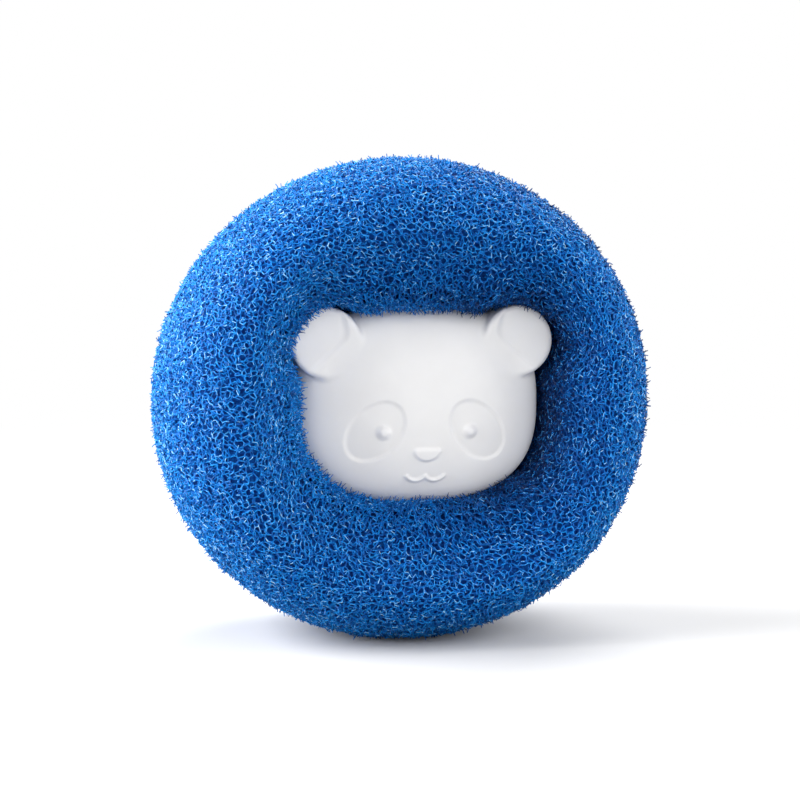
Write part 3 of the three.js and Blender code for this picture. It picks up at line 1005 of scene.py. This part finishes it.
def core_mesh():
    turns = np.arange(CORE_COLUMNS) * 2 * np.pi / CORE_COLUMNS
    angle, profile = (g.reshape(-1) for g in np.meshgrid(turns, np.linspace(0, 4, CORE_ROWS)))
    body = rest_on_ground(ring_point(angle, profile, CORE_DEPTH), CORE_DEPTH)
    rows = np.arange(len(body)).reshape(CORE_ROWS, CORE_COLUMNS)
    bend = np.arange(HOLE_COLUMNS) * 2 * np.pi / HOLE_COLUMNS
    radius = POST_RADIUS + CLEARANCE + HOLE_EASE
    circle = radius * np.stack([np.cos(bend), np.sin(bend)], axis=1)
    middles = [PINCH_OFFSET + [side * POST_X, 0] for side in (-1, 1)]
    holes = np.concatenate([middle + circle for middle in middles])
    flat = np.concatenate([body[:CORE_COLUMNS, :2], holes])
    loops = np.split(np.arange(len(flat)), [CORE_COLUMNS, CORE_COLUMNS + HOLE_COLUMNS])
    edges = [(int(a), int(b)) for loop in loops for a, b in zip(loop, np.roll(loop, -1))]
    faces = np.array(delaunay_2d_cdt([Vector(p) for p in flat.tolist()], edges, [], 1, 1e-6)[2])
    for middle in middles:
        faces = faces[np.linalg.norm(flat[faces].mean(axis=1) - middle, axis=1) > radius]
    web = WEB_FACE - CORE_DEPTH
    front = np.column_stack([holes, np.full(len(holes), web)])
    back = np.column_stack([holes, np.full(len(holes), -web)])
    points = np.concatenate([body, front, back])
    front_number = np.concatenate([rows[0], len(body) + np.arange(len(holes))])
    back_number = np.concatenate([rows[-1], len(body) + len(holes) + np.arange(len(holes))])
    quads = [ribbon(low, high) for low, high in zip(rows[:-1], rows[1:])]
    quads += [ribbon(back_number[loop], front_number[loop]) for loop in loops[1:]]
    quads = np.concatenate(quads)
    triangles = np.concatenate([front_number[faces], back_number[faces[:, ::-1]]])
    corners = np.concatenate([quads.reshape(-1), triangles.reshape(-1)])
    sizes = np.concatenate([np.full(len(quads), 4), np.full(len(triangles), 3)])
    return make_mesh("sponge_core", upright(points) * MM, corners, sizes)


dress_foam(core_mesh(), core_foam_shaded)

# Build the heads
HEAD_STEP = 0.25
HEAD_MARGIN = 0.6  # room round the moulding in the grid
SOFT_SHADING = 0.42  # how far light that spreads in the plastic evens out the dome, of 1
SOFT_FADE = 0.3  # how far the dome has to face the front for all of that, of 1
RELIEF_SHADING = 1.2  # how much stronger the relief on the dome shows
RELIEF_FULL, RELIEF_NONE = 0.5, 0.75  # turns away from the dome at which that starts to fade and ends
ears_reach = EAR_X + EAR_RADIUS
head_low = np.array([-ears_reach, -HEAD_HALF_HEIGHT, -SPIGOT_LENGTH]) - HEAD_MARGIN
head_high = np.array([ears_reach, EAR_Y + EAR_RADIUS, DOME_TOP + RAISE]) + HEAD_MARGIN
head_points, head_quads = surface_net(head_field, head_low, head_high, HEAD_STEP)
plastic = plastic_material("plastic")
for node, body, slot, turn in (
    ("front_head", "front_clasp", "front_plastic", 1),
    ("rear_head", "rear_clasp", "rear_plastic", -1),
):
    placed = head_points * [turn, 1, turn] + np.append(PINCH_OFFSET, 0)
    piece = make_mesh(
        f"{node}_moulding",
        upright(placed) * MM,
        head_quads.reshape(-1),
        np.full(len(head_quads), 4),
    )
    normals = np.empty(head_points.size, dtype=np.float32)
    piece.data.vertices.foreach_get("normal", normals)
    normals = normals.reshape(-1, 3).astype(float)
    base = upright_way(dome_normal(head_points) * [turn, 1, turn])
    soft = SOFT_SHADING * np.clip(-turn * base[:, 1:2] / SOFT_FADE, 0, 1)
    evened = unit(base * (1 - soft) + soft * np.array([0, -turn, 0]))
    detail = normals - base
    away = np.linalg.norm(detail, axis=1, keepdims=True)
    on_dome = np.clip((RELIEF_NONE - away) / (RELIEF_NONE - RELIEF_FULL), 0, 1)
    shade = normals * (1 - on_dome) + (evened + RELIEF_SHADING * detail) * on_dome
    piece.data.normals_split_custom_set_from_vertices(unit(shade))
    piece.data.materials.append(plastic)
    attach(piece, body)
    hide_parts(node)

# Stage
WORLD_LIGHT, WORLD_SHOWN = 0.12, 1.0  # how bright the white surroundings shine, and are seen
FLOOR_BOUNCE, FLOOR_SHOWN = 0.45, 0.86  # share of light that the floor throws back, and shows
FLOOR_RADIUS = 4
FADE_FROM, FADE_TO = 0.05, 0.45  # distances over which the floor becomes background
world = bpy.data.worlds.new("studio")
bpy.context.scene.world = world
world.use_nodes = True
world_tree = world.node_tree
background = next(n for n in world_tree.nodes if n.type == "BACKGROUND")
strength = range_node(world_tree, background_rays(world_tree), WORLD_LIGHT, WORLD_SHOWN)
world_tree.links.new(strength.outputs["Result"], background.inputs["Strength"])
set_inputs(background, {"Color": (1, 1, 1, 1)})

bpy.ops.mesh.primitive_circle_add(vertices=96, radius=FLOOR_RADIUS, fill_type="NGON")
floor = bpy.context.object
floor.name = "floor"
floor_material, floor_tree, floor_shader = new_material("floor")
floor_rays = floor_tree.nodes.new("ShaderNodeLightPath")
direct = floor_rays.outputs["Is Camera Ray"]
paleness = range_node(floor_tree, direct, FLOOR_BOUNCE, FLOOR_SHOWN)
floor_tree.links.new(paleness.outputs["Result"], floor_shader.inputs["Base Color"])
set_inputs(floor_shader, {"Roughness": 0.9, "Specular IOR Level": 0.1})
floor_out = next(n for n in floor_tree.nodes if n.type == "OUTPUT_MATERIAL")
glow = floor_tree.nodes.new("ShaderNodeEmission")
floor_place = floor_tree.nodes.new("ShaderNodeTexCoord")
distance = floor_tree.nodes.new("ShaderNodeVectorMath")
distance.operation = "LENGTH"
floor_tree.links.new(floor_place.outputs["Object"], distance.inputs[0])
fade = range_node(floor_tree, distance.outputs["Value"], 0, 1, FADE_FROM, FADE_TO)
fade.interpolation_type = "SMOOTHSTEP"
faded = floor_tree.nodes.new("ShaderNodeMath")
faded.operation = "MULTIPLY"
floor_tree.links.new(fade.outputs["Result"], faded.inputs[0])
floor_tree.links.new(background_rays(floor_tree), faded.inputs[1])
mix = floor_tree.nodes.new("ShaderNodeMixShader")
floor_tree.links.new(faded.outputs[0], mix.inputs["Fac"])
floor_tree.links.new(floor_shader.outputs[0], mix.inputs[1])
floor_tree.links.new(glow.outputs[0], mix.inputs[2])
floor_tree.links.new(mix.outputs[0], floor_out.inputs["Surface"])
floor.data.materials.append(floor_material)

MIDDLE = Vector((0, 0, 0.0483))
LAMP_DISTANCE = 1.0


def place_round(thing, target, azimuth, elevation, distance):
    """Stand something at a distance from target, facing it; azimuth 0 is in front."""
    turn, lift = math.radians(azimuth), math.radians(elevation)
    level = math.cos(lift)
    towards = Vector((math.sin(turn) * level, -math.cos(turn) * level, math.sin(lift)))
    thing.location = target + towards * distance
    thing.rotation_mode = "QUATERNION"
    thing.rotation_quaternion = towards.to_track_quat("Z", "Y")
    bpy.context.scene.collection.objects.link(thing)


def soft_box(name, azimuth, elevation, size, power):
    light = bpy.data.lights.new(name, "AREA")
    light.shape = "DISK"
    light.size = size
    light.energy = power
    lamp = bpy.data.objects.new(name, light)
    place_round(lamp, MIDDLE, azimuth, elevation, LAMP_DISTANCE)


soft_box("left", azimuth=-98, elevation=22, size=1.3, power=29)
soft_box("key", azimuth=20, elevation=26, size=0.8, power=3.6)
soft_box("fill", azimuth=-26, elevation=6, size=0.8, power=1.8)
soft_box("right", azimuth=75, elevation=25, size=0.8, power=5.5)
soft_box("back", azimuth=150, elevation=50, size=0.8, power=7)

CAMERA_AZIMUTH = -12
CAMERA_ELEVATION = 5
CAMERA_DISTANCE = 0.459
CAMERA_AIM = Vector((0.0005, 0, 0.0476))
camera_data = bpy.data.cameras.new("camera")
camera_data.lens = 100
camera_data.sensor_width = 36
camera = bpy.data.objects.new("camera", camera_data)
place_round(camera, CAMERA_AIM, CAMERA_AZIMUTH, CAMERA_ELEVATION, CAMERA_DISTANCE)
bpy.context.scene.camera = camera
bpy.context.scene.view_settings.view_transform = "Standard"
